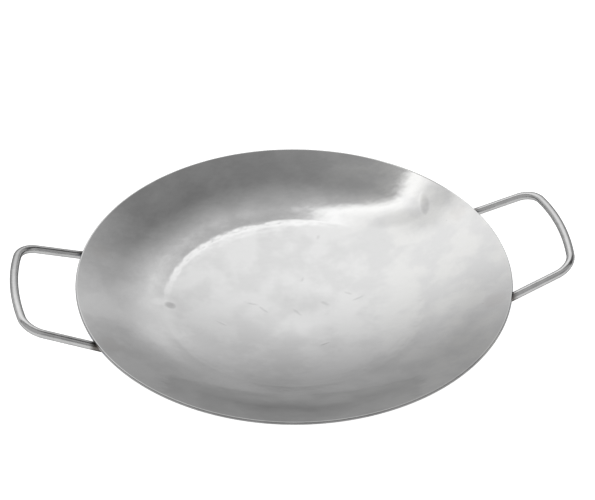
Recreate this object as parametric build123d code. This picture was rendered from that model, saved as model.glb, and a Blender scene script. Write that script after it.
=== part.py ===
from build123d import *
from math import asin, cos, radians, sin, sqrt, tan
import os

# Kadai: a shallow round bowl pressed from one steel sheet, with a bent wire handle welded under the
# rim at each side. Millimetres and degrees. +Z is up, +X runs through both handles, -Y is the front,
# and the origin is the middle of the flat underside.

# Bowl
rim_radius = 160.0      # outer edge of the rim, before its corners are broken
sheet = 2.0             # steel sheet, the same all over
base_radius = 25.0      # flat middle that the kadai stands on, on the inside face
floor_radius = 90.0     # where the dished floor ends and the knuckle starts, on the inside face
floor_slope = 14.0      # how steep the floor has become there
knuckle_bend = 45.0     # inside radius of the knuckle between the floor and the wall
wall_slope = 23.6       # slope of the straight wall
rim_break = 0.4         # chamfer on both corners of the cut edge

# Handles
rod = 6.0               # wire diameter
leg_spacing = 106.0     # between the two legs of a handle, at the middle of their welds
leg_toe = 6.2           # each leg leans in by this much on its way out
handle_reach = 42.0     # from the rim, level, to the centreline of the grip at its middle
grip_bend = 168.0       # the grip bows outwards on this radius
corner_bend = 17.4      # centreline radius of the two corners
seat_inset = 12.0       # from the rim back to the middle of a weld
tail = 7.5              # how far a leg runs on under the wall, past the middle of its weld

# Welds
weld_gap = 0.2          # root gap between the wire and the wall, filled by the weld
weld_length = 22.0      # along the leg, past its cut end
weld_width = 10.4       # across the leg, at its foot
weld_height = 3.6       # out from the wall, so that it meets the wire near its widest
weld_lean = 30.0        # how far its flanks lean in from upright
weld_root = 0.5         # drawn from this far inside the sheet, so that the wall cuts its foot

# The floor is part of a ball whose middle is on the axis, so its radius follows from the slope that
# it reaches.
floor_bend = floor_radius / sin(radians(floor_slope))
floor_centre_height = sheet + sqrt(floor_bend**2 - base_radius**2)


def sheet_line(depth):
    # One face of the sheet from the middle out to the rim, at this depth below the inside face.
    bend = floor_bend + depth
    base_height = sheet - depth
    base_end = (sqrt(bend**2 - (floor_centre_height - base_height) ** 2), base_height)
    floor_end = (bend * sin(radians(floor_slope)), floor_centre_height - bend * cos(radians(floor_slope)))
    middle = Line((0, base_height), base_end)
    floor = RadiusArc(base_end, floor_end, -bend)
    knuckle = JernArc(floor_end, floor % 1, knuckle_bend + depth, wall_slope - floor_slope)
    rise = (rim_radius - (sheet - depth) * sin(radians(wall_slope)) - (knuckle @ 1).X) / (knuckle % 1).X
    wall = Line(knuckle @ 1, (knuckle @ 1) + (knuckle % 1) * rise)
    return [middle, floor, knuckle, wall]


def make_bowl():
    inside = sheet_line(0)
    outside = sheet_line(sheet)
    axis_edge = Line(outside[0] @ 0, inside[0] @ 0)
    cut_edge = Line(inside[-1] @ 1, outside[-1] @ 1)
    section = make_face(inside + outside + [axis_edge, cut_edge])
    rim_corners = section.vertices().sort_by(Axis.X)[-2:]
    section = chamfer(rim_corners, rim_break)
    return revolve(Plane.XZ * section, Axis.Z)


def leg_seat():
    # Where the rear leg of the right handle lies against the wall: the point on the wall's outside
    # face, the face's outward direction there, and the leg's direction, in line with the face.
    seat_radius = rim_radius - seat_inset
    around = asin(leg_spacing / 2 / seat_radius)
    slope = radians(wall_slope)
    rim_edge = sheet_line(sheet)[-1] @ 1
    height = rim_edge.Y - seat_inset * tan(slope)
    point = Vector(seat_radius * cos(around), seat_radius * sin(around), height)
    outward = Vector(sin(slope) * cos(around), sin(slope) * sin(around), -cos(slope))
    toe = radians(leg_toe)
    along = Vector(cos(toe), -sin(toe), tan(slope) * cos(around + toe))
    return point, outward, along.normalized()


def make_handle():
    # Both legs and the grip lie in one tilted plane, drawn with x outwards and y along the grip.
    point, outward, along = leg_seat()
    start = point + outward * (rod / 2 + weld_gap)
    outwards = Vector(along.X, 0, along.Z).normalized()
    loop_plane = Plane(Vector(start.X, 0, start.Z), x_dir=outwards, z_dir=outwards.cross(Vector(0, 1, 0)))
    lean = Vector(along.dot(outwards), along.Y)
    leg_start = Vector(0, start.Y) - lean * tail
    grip_middle = Vector((rim_radius + handle_reach - start.X) / outwards.X, 0)
    grip_centre = grip_middle - Vector(grip_bend, 0)
    # The leg's line meets the grip's circle at the corner.
    offset = leg_start - grip_centre
    run = -offset.dot(lean) + sqrt(offset.dot(lean) ** 2 - offset.dot(offset) + grip_bend**2)
    corner = leg_start + lean * run
    with BuildLine() as loop:
        Line(leg_start, corner)
        ThreePointArc(corner, grip_middle, (corner.X, -corner.Y))
        Line((corner.X, -corner.Y), (leg_start.X, -leg_start.Y))
        corners = loop.vertices().sort_by(Axis.X)[-2:]
        fillet(corners, corner_bend)
    path = loop_plane * loop.wires()[0]
    return sweep((path ^ 0) * Circle(rod / 2), path=path)


def make_weld(bowl, handle):
    # A bead with leaning flanks along the rear leg of the right handle. Cut by the wall and the wire,
    # it fills the wedge on each side of the wire and covers its cut end. What lies inside the sheet
    # is dropped.
    point, outward, along = leg_seat()
    start = point - along * (weld_length / 2) - outward * weld_root
    across = Plane(start, x_dir=outward.cross(along), z_dir=along)
    foot_middle = (Align.CENTER, Align.MIN)
    profile = Trapezoid(weld_width, weld_height + weld_root, 90 - weld_lean, align=foot_middle)
    cut = extrude(across * profile, weld_length) - bowl - handle
    return cut.solids().sort_by(Axis(point, outward))[-1]


def build():
    bowl = make_bowl()
    right_handle = make_handle()
    right_rear_weld = make_weld(bowl, right_handle)
    right_front_weld = mirror(right_rear_weld, Plane.XZ)
    half_turn = Rotation(0, 0, 180)
    return {
        "bowl": bowl,
        "right_handle": right_handle,
        "left_handle": half_turn * right_handle,
        "right_rear_weld": right_rear_weld,
        "right_front_weld": right_front_weld,
        "left_front_weld": half_turn * right_rear_weld,
        "left_rear_weld": half_turn * right_front_weld,
    }


os.makedirs("parts", exist_ok=True)
for name, shape in build().items():
    export_step(shape, f"parts/{name}.step")
    box = shape.bounding_box()
    print(name, "volume", round(shape.volume, 1), "box", box.min, box.max)
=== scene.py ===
import random
from math import acos, asin, cos, pi, radians, sin, sqrt, tan

import bpy
from mathutils import Euler, Matrix, Vector


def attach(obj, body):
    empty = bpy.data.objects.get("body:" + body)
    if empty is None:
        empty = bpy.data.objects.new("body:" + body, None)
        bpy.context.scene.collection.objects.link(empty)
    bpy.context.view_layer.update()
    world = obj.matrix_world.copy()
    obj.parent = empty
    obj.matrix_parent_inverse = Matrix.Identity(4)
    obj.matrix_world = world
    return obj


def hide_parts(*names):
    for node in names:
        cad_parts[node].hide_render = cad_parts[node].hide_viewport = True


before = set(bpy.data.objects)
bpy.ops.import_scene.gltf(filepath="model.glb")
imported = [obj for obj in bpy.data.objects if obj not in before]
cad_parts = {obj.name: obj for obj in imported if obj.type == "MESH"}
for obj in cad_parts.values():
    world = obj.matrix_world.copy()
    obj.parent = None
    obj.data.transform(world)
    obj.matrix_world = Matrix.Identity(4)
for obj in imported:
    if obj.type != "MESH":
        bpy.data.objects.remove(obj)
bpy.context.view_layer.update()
print("kadai: frame loaded")

mergeGap = 0.00001          # points nearer than this are merged
sharpTurn = radians(60)     # edges that turn by more than this are rounded off


# Shader maths: a signal is one socket, and arithmetic on it adds Math nodes.
class Signal:
    def __init__(self, finish, socket):
        self.finish = finish
        self.socket = socket

    def maths(self, operation, *values):
        return self.finish.node("ShaderNodeMath", {"operation": operation}, dict(enumerate(values)))

    def __add__(self, other):
        return self.maths("ADD", self, other)

    def __sub__(self, other):
        return self.maths("SUBTRACT", self, other)

    def __mul__(self, other):
        return self.maths("MULTIPLY", self, other)

    def __truediv__(self, other):
        return self.maths("DIVIDE", self, other)

    def __pow__(self, other):
        return self.maths("POWER", self, other)

    def __rsub__(self, other):
        return self.maths("SUBTRACT", other, self)

    def __rtruediv__(self, other):
        return self.maths("DIVIDE", other, self)

    __radd__ = __add__
    __rmul__ = __mul__

    def size(self):
        return self.maths("ABSOLUTE", self)

    def exponent(self):
        return self.maths("EXPONENT", self)

    def larger(self, other):
        return self.maths("MAXIMUM", self, other)

    def smaller(self, other):
        return self.maths("MINIMUM", self, other)

    def rise(self, start, end):
        # 0 up to start, 1 from end on, with a soft step between
        return self.finish.node(
            "ShaderNodeMapRange",
            {"interpolation_type": "SMOOTHSTEP"},
            {"Value": self, "From Min": start, "From Max": end},
        )

    def fall(self, start, end):
        return 1 - self.rise(start, end)


# A finish is one node tree, of a material or of the studio around the kadai.
class Finish:
    def __init__(self, owner):
        owner.use_nodes = True
        self.tree = owner.node_tree
        self.tree.nodes.clear()

    def node(self, kind, settings, sockets, output=0):
        made = self.tree.nodes.new(kind)
        for name, value in settings.items():
            setattr(made, name, value)
        for name, value in sockets.items():
            if isinstance(value, Signal):
                self.tree.links.new(value.socket, made.inputs[name])
            else:
                made.inputs[name].default_value = value
        return Signal(self, made.outputs[output]) if made.outputs else None

    def place(self):
        return self.node("ShaderNodeTexCoord", {}, {}, "Object")

    def part(self, vector, axis):
        return self.node("ShaderNodeSeparateXYZ", {}, {"Vector": vector}, axis)

    def vector(self, operation, first, second, output="Vector"):
        return self.node("ShaderNodeVectorMath", {"operation": operation}, {0: first, 1: second}, output)

    def mapped(self, vector, centre=(0, 0, 0), turn=0.0, stretch=(1, 1, 1)):
        # the pattern's middle goes to centre, and it is turned about +Z and stretched there
        return self.node(
            "ShaderNodeMapping",
            {"vector_type": "TEXTURE"},
            {"Vector": vector, "Location": centre, "Rotation": (0, 0, turn), "Scale": stretch},
        )

    def noise(self, vector, scale, detail=2.0, roughness=0.5):
        return self.node(
            "ShaderNodeTexNoise",
            {},
            {"Vector": vector, "Scale": scale, "Detail": detail, "Roughness": roughness},
        )

    def blend(self, share, first, second):
        # sockets 0, 6 and 7 are the share and the two colours, and output 2 is the mixed colour
        return self.node("ShaderNodeMix", {"data_type": "RGBA"}, {0: share, 6: first, 7: second}, 2)

    def bump(self, height, distance, normal=None):
        sockets = {"Height": height, "Distance": distance, "Strength": 1.0}
        if normal:
            sockets["Normal"] = normal
        return self.node("ShaderNodeBump", {}, sockets)

    def surface(self, sockets):
        shader = self.node("ShaderNodeBsdfPrincipled", {}, sockets)
        self.node("ShaderNodeOutputMaterial", {}, {"Surface": shader})


def grey(level):
    return (level, level, level, 1)


def deselectAll():
    if bpy.context.object and bpy.context.object.mode == "EDIT":
        bpy.ops.object.mode_set(mode="OBJECT")
    bpy.ops.object.select_all(action="DESELECT")


def giveFinish(piece, material):
    piece.data.materials.clear()
    piece.data.materials.append(material)


# Bowl: turned ring by ring from the middle out, then given the sheet's thickness. Metres and radians.
bowl = {
    "sheet": 0.002,
    "flatRadius": 0.018,            # flat middle, before the faint blend into the floor
    "blendRadius": 0.034,           # where that blend ends
    "floorRadius": 0.0900,          # the floor is part of a ball, as steep as floorSlope at its edge
    "floorSlope": radians(15.55),
    "knuckleBend": 0.120,           # the knuckle that shows as a bright line
    "footSlope": radians(19.0),
    "wallBendStart": 0.1080,        # the wall's own wide bend starts this far out
    "wallBend": 0.260,
    "rimSlope": radians(24.9),
    "rimRadius": 0.15915,           # inside face, where the cut edge starts
    "rimSupport": 0.0009,           # a close ring keeps the rim's shading crisp
    "rimRound": 0.0005,
    "rimSegments": 4,
    "around": 256,
    "flatShares": (0.5, 0.8, 1.0),  # the rings on the flat and on its blend, as shares of their widths
    "blendShares": (0.25, 0.5, 0.75, 1.0),
    "floorRings": 14,
    "knuckleRings": 8,
    "footRings": 4,
    "bendRings": 10,
    "wallRings": 8,
}


def bendRing(points, bend, slope, endSlope, count):
    # rings along an arc that turns from one slope to the next
    radius, height = points[-1]
    for step in range(1, count + 1):
        turned = slope + (endSlope - slope) * step / count
        out = bend * (sin(turned) - sin(slope))
        points.append((radius + out, height + bend * (cos(slope) - cos(turned))))


def straightRing(points, slope, endRadius, count):
    radius, height = points[-1]
    for step in range(1, count + 1):
        run = (endRadius - radius) * step / count
        points.append((radius + run, height + run * tan(slope)))


def bowlProfile():
    # points of the inside face as (radius, height), from the middle out
    b = bowl
    blend = b["blendRadius"] - b["flatRadius"]
    floorBend = b["floorRadius"] / sin(b["floorSlope"])
    edgeSlope = asin(b["blendRadius"] / floorBend)
    points = [(b["flatRadius"] * share, b["sheet"]) for share in b["flatShares"]]
    for share in b["blendShares"]:
        points.append((b["flatRadius"] + blend * share, b["sheet"] + tan(edgeSlope) * blend / 2 * share**2))
    bendRing(points, floorBend, edgeSlope, b["floorSlope"], b["floorRings"])
    bendRing(points, b["knuckleBend"], b["floorSlope"], b["footSlope"], b["knuckleRings"])
    straightRing(points, b["footSlope"], b["wallBendStart"], b["footRings"])
    bendRing(points, b["wallBend"], b["footSlope"], b["rimSlope"], b["bendRings"])
    straightRing(points, b["rimSlope"], b["rimRadius"] - b["rimSupport"], b["wallRings"])
    straightRing(points, b["rimSlope"], b["rimRadius"], 1)
    return points


def makeBowl():
    profile = bowlProfile()
    deselectAll()
    bpy.ops.mesh.primitive_circle_add(
        vertices=bowl["around"], radius=profile[0][0], fill_type="TRIFAN", location=(0, 0, profile[0][1])
    )
    piece = bpy.context.object
    piece.name = "bowl_sheet"
    bpy.ops.object.transform_apply()
    bpy.ops.object.mode_set(mode="EDIT")
    bpy.ops.mesh.select_mode(type="EDGE")
    bpy.ops.mesh.select_all(action="SELECT")
    bpy.ops.mesh.region_to_loop()
    for (radius, height), (nextRadius, nextHeight) in zip(profile, profile[1:]):
        grow = nextRadius / radius
        bpy.ops.mesh.extrude_region_move(TRANSFORM_OT_translate={"value": (0, 0, nextHeight - height)})
        bpy.ops.transform.resize(value=(grow, grow, 1), center_override=(0, 0, 0))
    bpy.ops.mesh.select_all(action="SELECT")
    bpy.ops.mesh.remove_doubles(threshold=mergeGap)
    bpy.ops.mesh.normals_make_consistent(inside=False)
    bpy.ops.object.mode_set(mode="OBJECT")
    # the open sheet's normals may point either way, so the wall is grown on the side below
    facesUp = piece.data.polygons[0].normal.z > 0
    wall = piece.modifiers.new("wall", "SOLIDIFY")
    wall.thickness = bowl["sheet"]
    wall.offset = -1 if facesUp else 1
    wall.use_even_offset = True
    bpy.ops.object.modifier_apply(modifier="wall")
    bpy.ops.object.mode_set(mode="EDIT")
    bpy.ops.mesh.select_all(action="SELECT")
    bpy.ops.mesh.normals_make_consistent(inside=False)
    bpy.ops.mesh.select_all(action="DESELECT")
    bpy.ops.mesh.edges_select_sharp(sharpness=sharpTurn)
    bpy.ops.mesh.bevel(offset=bowl["rimRound"], segments=bowl["rimSegments"], affect="EDGES")
    bpy.ops.object.mode_set(mode="OBJECT")
    bpy.ops.object.shade_smooth()
    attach(piece, "root")
    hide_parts("bowl")
    return piece


bowlPiece = makeBowl()
print("kadai: bowl turned,", len(bowlPiece.data.polygons), "faces, rim at", bowlProfile()[-1])

# Handles: one wire loop, drawn as part.py draws it, in a tilted plane with u outwards and v to the rear.
wire = {
    "rod": 0.00596,
    "legSpacing": 0.106,            # between the legs, at the middle of their welds
    "legToe": radians(6.2),         # each leg leans in by this much on its way out
    "reach": 0.042,                 # from the rim, level, to the grip's centreline at its middle
    "gripBend": 0.168,
    "cornerBend": 0.0174,
    "seatInset": 0.012,             # from the rim back to the middle of a weld
    "tail": 0.0075,                 # how far a leg runs on under the wall
    "seatGap": 0.0002,
    "seatSlope": radians(23.6),     # the wall's slope in the solid
    "seatHeight": 0.03466,          # the wall's outside at the middle of a weld
    "rimRadius": 0.160,
    "around": 40,
    "cornerSteps": 20,
    "gripSteps": 32,
    "endRound": 0.0006,
    "endSegments": 3,
}


def legSeat():
    # where the right handle's rear leg lies against the wall: point, outward way, way along the leg
    slope = wire["seatSlope"]
    seatRadius = wire["rimRadius"] - wire["seatInset"]
    turn = asin(wire["legSpacing"] / 2 / seatRadius)
    point = Vector((seatRadius * cos(turn), seatRadius * sin(turn), wire["seatHeight"]))
    outward = Vector((sin(slope) * cos(turn), sin(slope) * sin(turn), -cos(slope)))
    toe = wire["legToe"]
    along = Vector((cos(toe), -sin(toe), tan(slope) * cos(turn + toe))).normalized()
    return point, outward, along


def makeHandle():
    point, outward, along = legSeat()
    start = point + outward * (wire["rod"] / 2 + wire["seatGap"])
    u = Vector((along.x, 0, along.z)).normalized()
    v = Vector((0, 1, 0))
    facing = u.cross(v)
    middle = Vector((start.x, 0, start.z))
    legStart = start - along * wire["tail"]
    gripCentre = middle + u * ((wire["rimRadius"] + wire["reach"] - start.x) / u.x - wire["gripBend"])
    # the corner's centre lies one corner bend inside the leg and the grip
    inwards = along.cross(facing).normalized()
    if inwards.y > 0:
        inwards = -inwards
    away = legStart + inwards * wire["cornerBend"] - gripCentre
    gap = wire["gripBend"] - wire["cornerBend"]
    run = -away.dot(along) + sqrt(away.dot(along) ** 2 - away.dot(away) + gap**2)
    cornerCentre = legStart + inwards * wire["cornerBend"] + along * run
    grip = (cornerCentre - gripCentre).normalized()
    halfGrip = asin(grip.dot(v))
    cornerTurn = acos(along.dot(facing.cross(-grip).normalized()))
    otherCentre = Vector((cornerCentre.x, -cornerCentre.y, cornerCentre.z))

    deselectAll()
    bpy.ops.mesh.primitive_circle_add(
        vertices=wire["around"], radius=wire["rod"] / 2, fill_type="NOTHING",
        location=legStart, rotation=along.to_track_quat("Z", "Y").to_euler(),
    )
    piece = bpy.context.object
    piece.name = "right_handle_wire"
    bpy.ops.object.transform_apply()
    bpy.ops.object.mode_set(mode="EDIT")
    bpy.ops.mesh.select_mode(type="EDGE")
    bpy.ops.mesh.select_all(action="SELECT")
    bpy.ops.mesh.extrude_region_move(TRANSFORM_OT_translate={"value": along * run})
    bpy.ops.mesh.spin(steps=wire["cornerSteps"], angle=cornerTurn, center=cornerCentre, axis=facing)
    bpy.ops.mesh.spin(steps=wire["gripSteps"], angle=2 * halfGrip, center=gripCentre, axis=facing)
    bpy.ops.mesh.spin(steps=wire["cornerSteps"], angle=cornerTurn, center=otherCentre, axis=facing)
    backWay = Vector((-along.x, along.y, -along.z))
    bpy.ops.mesh.extrude_region_move(TRANSFORM_OT_translate={"value": backWay * run})
    bpy.ops.mesh.select_all(action="SELECT")
    bpy.ops.mesh.remove_doubles(threshold=mergeGap)
    bpy.ops.mesh.fill_holes(sides=0)
    bpy.ops.mesh.normals_make_consistent(inside=False)
    bpy.ops.mesh.select_all(action="DESELECT")
    bpy.ops.mesh.edges_select_sharp(sharpness=sharpTurn)
    bpy.ops.mesh.bevel(offset=wire["endRound"], segments=wire["endSegments"], affect="EDGES")
    bpy.ops.object.mode_set(mode="OBJECT")
    bpy.ops.object.shade_smooth()
    return piece


def giveRole(piece, name, node):
    piece.name = name
    piece.data.name = name
    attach(piece, "root")
    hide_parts(node)


def copyPiece(piece, stretch, turn):
    # a copy with its own mesh, stretched by -1 to mirror it, or turned about +Z through the origin
    deselectAll()
    piece.select_set(True)
    bpy.context.view_layer.objects.active = piece
    bpy.ops.object.duplicate(linked=False)
    made = bpy.context.object
    bpy.ops.object.mode_set(mode="EDIT")
    bpy.ops.mesh.select_all(action="SELECT")
    bpy.ops.transform.resize(value=stretch, center_override=(0, 0, 0))
    bpy.ops.transform.rotate(value=turn, orient_axis="Z", center_override=(0, 0, 0))
    bpy.ops.mesh.normals_make_consistent(inside=False)
    bpy.ops.object.mode_set(mode="OBJECT")
    return made


rightHandle = makeHandle()
leftHandle = copyPiece(rightHandle, (1, 1, 1), pi)
giveRole(rightHandle, "right_handle_wire", "right_handle")
giveRole(leftHandle, "left_handle_wire", "left_handle")
print("kadai: wires bent,", len(rightHandle.data.polygons), "faces each")


# Welds: a bead laid down one side of a leg, round its cut end and back up the other side. Each drop
# is a flattened ball, and the drops are melted into one skin.
weld = {
    "length": 0.0195,
    "past": 0.0012,                 # from the wire's cut end to the middle of the turn's drops
    "offset": 0.0030,               # from the wire's middle line to the middle of a drop
    "lift": 0.0009,                 # from the wall out to the middle of a drop
    "step": 0.0015,
    "turnDrops": 6,
    "drop": (0.00145, 0.0021, 0.0022),  # half sizes: along the bead, across it and out
    "spread": 0.10,                 # how much the drops differ
    "seed": 4,
    "dropAround": 20,
    "dropRings": 12,
    "voxel": 0.00030,
    "smoothing": 0.5,
    "smoothRounds": 2,
}


def makeWeld():
    seeded = random.Random(weld["seed"])
    point, outward, along = legSeat()
    side = outward.cross(along).normalized()
    tailEnd = -wire["tail"]
    straight = int((weld["length"] - weld["past"]) / weld["step"])
    places = []
    for step in range(straight):
        places.append((tailEnd + weld["step"] * (straight - 1 - step), weld["offset"], along))
    for step in range(1, weld["turnDrops"]):
        turn = pi * step / weld["turnDrops"]
        back = tailEnd - (weld["offset"] - weld["past"]) * sin(turn)
        places.append((back, weld["offset"] * cos(turn), along * cos(turn) + side * sin(turn)))
    for step in range(straight):
        places.append((tailEnd + weld["step"] * step, -weld["offset"], along))
    drops = []
    for run, offset, way in places:
        middle = point + along * run + side * offset + outward * weld["lift"]
        across = outward.cross(way).normalized()
        turned = Matrix((way, across, outward)).transposed()
        size = [half * (1 + seeded.uniform(-1, 1) * weld["spread"]) for half in weld["drop"]]
        bpy.ops.mesh.primitive_uv_sphere_add(
            segments=weld["dropAround"], ring_count=weld["dropRings"], radius=1,
            location=middle, rotation=turned.to_euler(), scale=size,
        )
        drops.append(bpy.context.object)
    deselectAll()
    for drop in drops:
        drop.select_set(True)
    bpy.context.view_layer.objects.active = drops[0]
    bpy.ops.object.join()
    piece = bpy.context.object
    bpy.ops.object.transform_apply()
    melt = piece.modifiers.new("melt", "REMESH")
    melt.mode = "VOXEL"
    melt.voxel_size = weld["voxel"]
    bpy.ops.object.modifier_apply(modifier="melt")
    bpy.ops.object.mode_set(mode="EDIT")
    bpy.ops.mesh.select_all(action="SELECT")
    bpy.ops.mesh.vertices_smooth(factor=weld["smoothing"], repeat=weld["smoothRounds"])
    bpy.ops.object.mode_set(mode="OBJECT")
    bpy.ops.object.shade_smooth()
    return piece


deselectAll()
rightRearWeld = makeWeld()
rightFrontWeld = copyPiece(rightRearWeld, (1, -1, 1), 0)
leftFrontWeld = copyPiece(rightRearWeld, (1, 1, 1), pi)
leftRearWeld = copyPiece(rightFrontWeld, (1, 1, 1), pi)
giveRole(rightRearWeld, "right_rear_weld_bead", "right_rear_weld")
giveRole(rightFrontWeld, "right_front_weld_bead", "right_front_weld")
giveRole(leftFrontWeld, "left_front_weld_bead", "left_front_weld")
giveRole(leftRearWeld, "left_rear_weld_bead", "left_rear_weld")
welds = [rightRearWeld, rightFrontWeld, leftFrontWeld, leftRearWeld]
print("kadai: welds laid,", len(rightRearWeld.data.polygons), "faces each")


# Finishes: one function for each metal, with what a user would change above it.
def metal(f, colour, roughness, normal, edge):
    # edge below 1 mirrors less at a low angle
    f.surface({
        "Base Color": colour, "Metallic": 1.0, "Roughness": roughness, "Normal": normal,
        "Specular Tint": grey(edge),
    })


def weldDistance(x, y):
    # how far a place is from the middle of the nearest weld, seen from above
    point = legSeat()[0]
    return ((x.size() - point.x) ** 2 + (y.size() - point.y) ** 2) ** 0.5


# Bowl steel: brightness, roughness and relief. Ranges in metres are radii unless a note says more.
steel = {
    "tone": 0.42,
    "edge": 0.68,
    "roughness": 0.08,
    "waveScale": 15.0,          # pressing leaves the sheet faintly wavy, about 65 mm from crest to crest
    "waveDetail": 1.0,
    "waveDepth": 0.00026,
    "blotchScale": 38.0,        # patches about 26 mm across
    "blotchDetail": 3.0,
    "blotchBreak": 0.55,
    "blotchDepth": 0.00010,
    "blotchRough": 0.08,
    "patchRange": (0.38, 0.62),
    "patchTone": 0.038,
    "grainScale": 1500.0,
    "grainDetail": 2.0,
    "grainDepth": 0.000004,
    "grainRough": 0.05,
    "rippleScale": 130.0,       # short ripples along the knuckle
    "rippleDetail": 1.0,
    "rippleDepth": 0.00008,
    "rippleStart": (0.086, 0.091),
    "rippleEnd": (0.094, 0.098),
    "rollScale": 800.0,         # fine lines that rolling left in the sheet, along X
    "rollDetail": 2.0,
    "rollStretch": (14, 1, 1),
    "rollTone": 0.018,
    "rollRough": 0.06,
    "wearStart": (0.0145, 0.0165),  # the underside's rubbed ring, which stands on the hob
    "wearEnd": (0.0225, 0.0255),
    "wearGrain": (0.35, 0.6),
    "wearTone": 0.10,
    "cutRange": (-0.0004, 0.0002),  # where the cut edge starts, from the rim's inside radius
    "cutTone": 0.17,            # it is darker than the faces
    "dullRough": 0.12,          # heat, wear and the cut edge are duller
    "warmTone": (0.44, 0.42, 0.31, 1),  # a trace of straw to the right
    "warmRange": (0.02, 0.11),
    "warmShare": 0.05,
    "ballBottom": 0.0011,       # the lowest point of the floor's ball
    "ballRange": (0.0002, 0.0008),  # beyond the ball, where the outside face takes over
    "wallRange": (-0.0003, 0.0003),     # the same round the wall's middle line
    "wallStart": (0.120, 0.126),    # the radius where the line takes over from the ball
}
# Heat colours round the welds: ranges from the middle of a weld.
heat = {
    "flameScale": 200.0,
    "flameDetail": 3.0,
    "raggedBlotch": 0.014,      # the patches and the flame noise shift its edges by this
    "raggedFlame": 0.007,
    "brownRange": (0.007, 0.014),
    "brownTone": (0.20, 0.15, 0.12, 1),
    "brownShare": 0.75,
    "blueStart": (0.011, 0.014),
    "blueEnd": (0.014, 0.019),
    "blueTone": (0.20, 0.23, 0.30, 1),
    "blueShare": 0.5,
    "insideRange": (0.004, 0.010),  # a trace of it shows on the inside
    "insideShare": 0.07,
}
# Stains and painted shade on the inside face: middle, turn, and half the length and width.
stainsAndShade = {
    "scuff": ((-0.0915, 0.0095), radians(-25), (0.0048, 0.0046)),
    "scuffTone": 0.08,
    "lightPatch": ((-0.0995, 0.0120), radians(10), (0.0080, 0.0048)),
    "lightPatchTone": 0.04,
    # the rim dent: a faint bump, plus a painted shade streak that darkens it
    "rimDent": ((0.1180, 0.0750), radians(84), (0.0125, 0.0042)),
    "rimDentShadeTone": 0.08,
    "rimDentDepth": 0.00008,
    # painted shadows: a long grey streak below the reflected bright band, and a grey patch by the far right
    # rim
    "longShadow": ((0.0965, 0.0715), radians(-10), (0.0240, 0.0090)),
    "rimShadow": ((0.1290, 0.0790), radians(-50), (0.0170, 0.0120)),
    "shadowTone": 0.055,
    # painted shade: a dark line along the rim's inside edge at the far right
    "rimLine": ((0.1190, 0.1020), radians(-49.5), (0.0300, 0.0150)),
    "rimLineRange": (-0.0012, -0.0004),     # from the rim's inside radius
    "rimLineShadeTone": 0.20,
    "fadeRange": (0.0, 1.1),    # how softly a stain, painted shade or scratch ends
}
# Small scratches, given in the same way.
scratches = {
    "places": [
        ((-0.0290, 0.0138), radians(-18), (0.0048, 0.0014)),
        ((-0.0222, 0.0068), radians(-58), (0.0060, 0.0014)),
        ((0.0024, -0.0010), radians(-62), (0.0062, 0.0015)),
        ((0.0248, 0.0056), radians(-50), (0.0045, 0.0020)),
        ((0.0331, 0.0753), radians(70), (0.0032, 0.0018)),
        ((0.0440, 0.0118), radians(-40), (0.0042, 0.0013)),
        ((0.0500, 0.0040), radians(15), (0.0060, 0.0014)),
        ((0.0130, 0.0350), radians(60), (0.0032, 0.0012)),
        ((-0.0560, -0.0080), radians(-40), (0.0050, 0.0013)),
        ((0.0150, -0.0420), radians(20), (0.0045, 0.0012)),
    ],
    "depth": 0.00006,
    "tone": 0.035,
    "rough": 0.1,
}


def ovalMask(f, place, middle, turn, half):
    # 1 in the middle of an oval on the bowl, 0 outside it
    moved = f.mapped(place, (*middle, 0), turn, (*half, 1))
    along = f.part(moved, "X")
    across = f.part(moved, "Y")
    return (along * along + across * across).fall(*stainsAndShade["fadeRange"])


def outsideMask(x, y, z, radius):
    # the outside face lies beyond the floor's ball, and below a line along the middle of the wall
    rimRadius, rimHeight = bowlProfile()[-1]
    line = rimHeight - bowl["sheet"] / 2 - (rimRadius - radius) * tan(bowl["rimSlope"])
    floorBend = bowl["floorRadius"] / sin(bowl["floorSlope"])
    ballHeight = steel["ballBottom"] + floorBend
    ballRun = (x * x + y * y + (z - ballHeight) ** 2) ** 0.5 - floorBend
    wallPart = (z - line).fall(*steel["wallRange"]) * radius.rise(*steel["wallStart"])
    return ballRun.rise(*steel["ballRange"]) * radius.fall(*steel["wallStart"]) + wallPart


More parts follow.
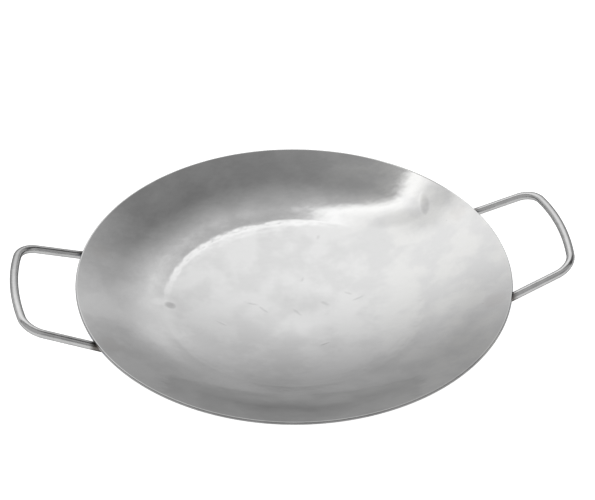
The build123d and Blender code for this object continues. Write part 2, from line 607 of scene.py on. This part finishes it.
def makeBowlSteel():
    material = bpy.data.materials.new("bowl_steel_satin")
    f = Finish(material)
    place = f.place()
    x, y, z = (f.part(place, axis) for axis in "XYZ")
    radius = (x * x + y * y) ** 0.5
    rimRadius = bowlProfile()[-1][0]
    under = outsideMask(x, y, z, radius)
    wave = f.noise(place, steel["waveScale"], steel["waveDetail"])
    blotch = f.noise(place, steel["blotchScale"], steel["blotchDetail"], steel["blotchBreak"])
    patch = blotch.rise(*steel["patchRange"])
    grain = f.noise(place, steel["grainScale"], steel["grainDetail"])
    rolled = f.noise(f.mapped(place, stretch=steel["rollStretch"]), steel["rollScale"], steel["rollDetail"])
    worn = radius.rise(*steel["wearStart"]) * radius.fall(*steel["wearEnd"]) * under
    worn = worn * grain.rise(*steel["wearGrain"])
    cutStart, cutEnd = steel["cutRange"]
    cutEdge = radius.rise(rimRadius + cutStart, rimRadius + cutEnd)

    # heat from the four welds: straw and brown close by, a blue ring further out
    flame = f.noise(place, heat["flameScale"], heat["flameDetail"])
    heatRun = weldDistance(x, y) + (blotch - 0.5) * heat["raggedBlotch"]
    heatRun = heatRun + (flame - 0.5) * heat["raggedFlame"]
    brown = heatRun.fall(*heat["brownRange"]) * under
    blue = heatRun.rise(*heat["blueStart"]) * heatRun.fall(*heat["blueEnd"]) * under
    insideBrown = heatRun.fall(*heat["insideRange"]) * (1 - under) * heat["insideShare"]

    # scratches, stains and painted shade
    scuffed, patched, dentAndShade, longShadow, rimShadow, rimLineShade = (
        ovalMask(f, place, *stainsAndShade[name])
        for name in ("scuff", "lightPatch", "rimDent", "longShadow", "rimShadow", "rimLine")
    )
    # the rim line is painted shade, kept to the rim's edge
    lineStart, lineEnd = stainsAndShade["rimLineRange"]
    rimLineShade = rimLineShade * radius.rise(rimRadius + lineStart, rimRadius + lineEnd)
    mark = scuffed
    for scratch in scratches["places"]:
        mark = mark.larger(ovalMask(f, place, *scratch))
    mark = mark * (1 - under)

    stainAndShadeTone = patched * stainsAndShade["lightPatchTone"] - scuffed * stainsAndShade["scuffTone"]
    # painted shade: the dent's dark streak and the dark rim line
    stainAndShadeTone = stainAndShadeTone - dentAndShade * stainsAndShade["rimDentShadeTone"] - rimLineShade * stainsAndShade["rimLineShadeTone"]
    # painted shadows darken the sheet's colour here
    stainAndShadeTone = stainAndShadeTone - longShadow.larger(rimShadow) * stainsAndShade["shadowTone"]
    tone = steel["tone"] + (patch - 0.5) * steel["patchTone"] - mark * scratches["tone"]
    tone = tone - cutEdge * steel["cutTone"] + stainAndShadeTone * (1 - under)
    tone = tone + (rolled - 0.5) * steel["rollTone"] + worn * steel["wearTone"]
    colour = f.blend(tone, grey(0.0), grey(1.0))
    colour = f.blend(patch * x.rise(*steel["warmRange"]) * steel["warmShare"], colour, steel["warmTone"])
    colour = f.blend((brown * heat["brownShare"]).larger(insideBrown), colour, heat["brownTone"])
    colour = f.blend(blue * heat["blueShare"], colour, heat["blueTone"])

    roughness = steel["roughness"] + (blotch - 0.5) * steel["blotchRough"]
    roughness = roughness + (grain - 0.5) * steel["grainRough"] + (rolled - 0.5) * steel["rollRough"]
    roughness = roughness + (brown + cutEdge + worn) * steel["dullRough"] + mark * scratches["rough"]

    ripple = f.noise(place, steel["rippleScale"], steel["rippleDetail"])
    ripple = ripple * (radius.rise(*steel["rippleStart"]) * radius.fall(*steel["rippleEnd"]))
    normal = f.bump(wave, steel["waveDepth"])
    normal = f.bump(blotch, steel["blotchDepth"], normal)
    normal = f.bump(ripple, steel["rippleDepth"], normal)
    normal = f.bump(1 - mark, scratches["depth"], normal)
    normal = f.bump(1 - dentAndShade, stainsAndShade["rimDentDepth"], normal)
    normal = f.bump(grain, steel["grainDepth"], normal)
    metal(f, colour, roughness, normal, steel["edge"])
    return material


wireFinish = {
    "tone": 0.42,
    "edge": 0.1,
    "roughness": 0.24,
    "grainScale": 900.0,
    "grainDetail": 2.0,
    "grainDepth": 0.000006,
    "mottleScale": 160.0,       # drawing and bending leave the wire faintly uneven
    "mottleDetail": 3.0,
    "mottleDepth": 0.00012,
    "mottleTone": 0.14,
    "mottleRough": 0.12,
    # heat oxide round the welds, dark up to where the wire runs under the rim; there it is also painted shade
    # in the gap
    "oxide": (0.065, 0.057, 0.050, 1),
    "oxideRange": (0.0125, 0.0175),     # from the middle of a weld
    "oxideRagged": 0.004,
    "oxideAndShadeShare": 0.85,
}


def makeWireSteel():
    w = wireFinish
    material = bpy.data.materials.new("handle_wire_bright")
    f = Finish(material)
    place = f.place()
    x, y = (f.part(place, axis) for axis in "XY")
    mottle = f.noise(place, w["mottleScale"], w["mottleDetail"])
    grain = f.noise(place, w["grainScale"], w["grainDetail"])
    colour = f.blend(w["tone"] + (mottle - 0.5) * w["mottleTone"], grey(0.0), grey(1.0))
    # heat oxide, which is also painted shade where the wire runs under the rim
    oxide = (weldDistance(x, y) + (mottle - 0.5) * w["oxideRagged"]).fall(*w["oxideRange"])
    colour = f.blend(oxide * w["oxideAndShadeShare"], colour, w["oxide"])
    roughness = w["roughness"] + (mottle - 0.5) * w["mottleRough"]
    normal = f.bump(grain, w["grainDepth"], f.bump(mottle, w["mottleDepth"]))
    metal(f, colour, roughness, normal, w["edge"])
    return material


weldFinish = {
    "tone": 0.30,
    "edge": 0.4,
    "roughness": 0.38,
    "grainScale": 1400.0,
    "grainDetail": 3.0,
    "grainDepth": 0.00002,
    "oxideScale": 260.0,
    "oxideDetail": 4.0,
    "oxideBreak": 0.6,
    "oxideRange": (0.42, 0.66),
    "oxideTone": (0.16, 0.135, 0.12, 1),
    "oxideRough": 0.3,
}


def makeWeldMetal():
    w = weldFinish
    material = bpy.data.materials.new("weld_metal_dull")
    f = Finish(material)
    place = f.place()
    oxide = f.noise(place, w["oxideScale"], w["oxideDetail"], w["oxideBreak"])
    grain = f.noise(place, w["grainScale"], w["grainDetail"])
    colour = f.blend(oxide.rise(*w["oxideRange"]), grey(w["tone"]), w["oxideTone"])
    roughness = w["roughness"] + (oxide - 0.5) * w["oxideRough"]
    metal(f, colour, roughness, f.bump(grain, w["grainDepth"]), w["edge"])
    return material


giveFinish(bowlPiece, makeBowlSteel())
wireSteel = makeWireSteel()
for piece in (rightHandle, leftHandle):
    giveFinish(piece, wireSteel)
weldMetal = makeWeldMetal()
for piece in welds:
    giveFinish(piece, weldMetal)
print("kadai: finishes given")


# Camera: turned about the middle of the rim, at the photograph's viewing angle.
view = {
    "azimuth": radians(-10.6),      # from the front, towards the left
    "elevation": radians(38.5),
    "distance": 1.12,
    "lens": 92.27,
    "sensor": 36,
    "farthest": 50,
    "aim": (radians(0.759), radians(-0.121), radians(0.220)),  # small last turns: nod, pan and roll
}


def makeCamera():
    rimHeight = bowlProfile()[-1][1]
    back = Vector((
        sin(view["azimuth"]) * cos(view["elevation"]),
        -cos(view["azimuth"]) * cos(view["elevation"]),
        sin(view["elevation"]),
    ))
    towards = back.to_track_quat("Z", "Y").to_matrix() @ Euler(view["aim"]).to_matrix()
    place = Vector((0, 0, rimHeight)) + back * view["distance"]
    deselectAll()
    bpy.ops.object.camera_add(location=place, rotation=towards.to_euler())
    camera = bpy.context.object
    camera.data.lens = view["lens"]
    camera.data.sensor_width = view["sensor"]
    camera.data.clip_end = view["farthest"]
    bpy.context.scene.camera = camera


# Studio: a grey room with one large soft white panel above and behind the kadai. Places in it are
# given on a flat ceiling one unit up, across and ahead as the camera looks. The panel's near right
# corner is well rounded, and it has no end to the left or ahead.
studio = {
    "room": 0.036,
    "roomAhead": 0.70,              # more light further ahead
    "roomRange": (0.0, 2.44),
    "haze": 1.04,                   # light round the panel, fading out from its edge
    "hazeReach": 0.200,
    "hazeGrow": 0.230,              # it reaches further for each unit ahead
    "hazeGrowStart": 0.6,           # from here ahead, and over this many units
    "hazeGrowMost": 2,
    "hazePower": 1.18,
    "hazeRange": (0.117, 0.42),     # it is weaker near the horizon
    "hazeLoss": 0.90,
    "hazeLeft": (-0.40, -0.10),     # and to the left
    "hazeLeftLoss": 0.27,
    "panel": 1.78,
    "panelTilt": -0.26,             # it is brighter to the left
    "tiltReach": 0.8,               # up to this far across, to both sides
    "nearEdge": 0.290,              # ahead, at its nearest
    "cornerStart": (-0.192, 1.90),  # across and ahead, where the rounded corner starts
    "cornerWidth": 0.745,
    "cornerPower": 2.66,            # how square the corner is
    "cornerShare": 0.8,             # scales its measure to the way inside
    "edgeSoft": 0.022,              # half the width of the panel's soft edge
    "edgeGrow": 0.65,               # which widens by this for each unit ahead
    "edgeGrowStart": 1,             # from here ahead, and over this many units
    "edgeGrowMost": 1.5,
    "strip": 0.78,                  # extra light along the edge
    "stripPlace": 0.002,
    "stripWidth": 0.038,
    "stripEnd": (1.00, 1.65),       # ahead, where the strip fades out
    "shade": 0.47,                  # the panel is dimmer just inside the strip, to the left
    "shadePlace": 0.150,
    "shadeWidth": 0.075,
    "shadeRange": (-0.52, -0.30),
    "shadeEnd": (0.5, 0.9),
    "back": 0.70,                   # the ceiling behind the camera, which only the wires show
    "backRange": (-0.25, 0.02),
    "screen": 0.62,                 # a dark screen hangs there, and the left handle's front leg shows it
    "screenPlace": (1.35, -1.85),
    "screenSize": 0.80,
    "low": 0.763,                   # light near the horizon
    "lowRange": (0.149, 0.802),
    "lowest": 0.03,                 # the ceiling ends where it is this flat
    "floor": 1.0,
    "floorRange": (-0.05, 0.0),
}


def bell(run):
    # 1 at 0, fading out softly to both sides
    return (-1 * run * run).exponent()


def makeStudio():
    world = bpy.data.worlds.new("studio")
    bpy.context.scene.world = world
    f = Finish(world)
    s = studio
    towards = f.node("ShaderNodeTexCoord", {}, {}, "Generated")
    aheadWay = (-sin(view["azimuth"]), cos(view["azimuth"]), 0)
    acrossWay = (cos(view["azimuth"]), sin(view["azimuth"]), 0)
    up = f.part(towards, "Z")
    height = up.larger(s["lowest"])
    ahead = f.vector("DOT_PRODUCT", towards, aheadWay, "Value") / height
    across = f.vector("DOT_PRODUCT", towards, acrossWay, "Value") / height

    # the corner is a rounded square: one minus its measure, times its size, is about the way inside
    cornerAcross, cornerAhead = s["cornerStart"]
    cornerLength = cornerAhead - s["nearEdge"]
    sideways = (across - cornerAcross).larger(0) / s["cornerWidth"]
    backwards = (cornerAhead - ahead).larger(0) / cornerLength
    power = s["cornerPower"]
    inside = (1 - (sideways**power + backwards**power) ** (1 / power)) * (cornerLength * s["cornerShare"])
    soft = s["edgeSoft"] + (ahead - s["edgeGrowStart"]).larger(0).smaller(s["edgeGrowMost"]) * s["edgeGrow"]
    panel = (inside / soft).rise(-1, 1)

    strip = bell((inside - s["stripPlace"]) / s["stripWidth"]) * ahead.fall(*s["stripEnd"]) * s["strip"]
    shade = bell((inside - s["shadePlace"]) / s["shadeWidth"]) * across.fall(*s["shadeRange"])
    shade = shade * ahead.fall(*s["shadeEnd"]) * s["shade"]
    low = up.fall(*s["lowRange"])
    high = s["panel"] + across.larger(-s["tiltReach"]).smaller(s["tiltReach"]) * s["panelTilt"]
    panelLevel = high + low * (s["low"] - high) + strip - shade

    reach = (ahead - s["hazeGrowStart"]).larger(0).smaller(s["hazeGrowMost"]) * s["hazeGrow"] + s["hazeReach"]
    haze = (-1 * ((0 - inside).larger(0) / reach) ** s["hazePower"]).exponent() * s["haze"]
    haze = haze * (1 - up.fall(*s["hazeRange"]) * s["hazeLoss"])
    haze = haze * (1 - across.fall(*s["hazeLeft"]) * s["hazeLeftLoss"])
    screenAcross, screenAhead = s["screenPlace"]
    screenRun = ((across - screenAcross) ** 2 + (ahead - screenAhead) ** 2) / s["screenSize"] ** 2
    back = ahead.fall(*s["backRange"]) * (s["back"] - (-1 * screenRun).exponent() * s["screen"])
    roomLevel = s["room"] + ahead.rise(*s["roomRange"]) * s["roomAhead"] + haze + back

    level = roomLevel + (panelLevel - roomLevel) * panel
    belowFloor = up.fall(*s["floorRange"])
    level = level * (1 - belowFloor) + belowFloor * s["floor"]
    light = f.node("ShaderNodeBackground", {}, {"Color": grey(1.0), "Strength": level})
    f.node("ShaderNodeOutputWorld", {}, {"Surface": light})


# Floor: a white sheet whose own glow keeps it as even as the photograph's background.
floorFinish = {
    "size": 12,
    "cuts": 8,
    "tone": 0.50,
    "fleckScale": 3.0,
    "fleckTone": 0.02,
    "roughness": 0.9,
    "glow": 0.86,
}


def makeFloor():
    w = floorFinish
    deselectAll()
    bpy.ops.mesh.primitive_grid_add(
        x_subdivisions=w["cuts"], y_subdivisions=w["cuts"], size=w["size"], location=(0, 0, 0)
    )
    floor = bpy.context.object
    floor.name = "studio_floor"
    material = bpy.data.materials.new("floor_white")
    f = Finish(material)
    fleck = f.noise(f.place(), w["fleckScale"])
    colour = f.blend(w["tone"] + (fleck - 0.5) * w["fleckTone"], grey(0.0), grey(1.0))
    f.surface({
        "Base Color": colour, "Roughness": w["roughness"],
        "Emission Color": grey(1.0), "Emission Strength": w["glow"],
    })
    giveFinish(floor, material)


makeCamera()
makeStudio()
makeFloor()
bpy.context.scene.view_settings.view_transform = "Standard"
print("kadai: camera, studio and floor set")
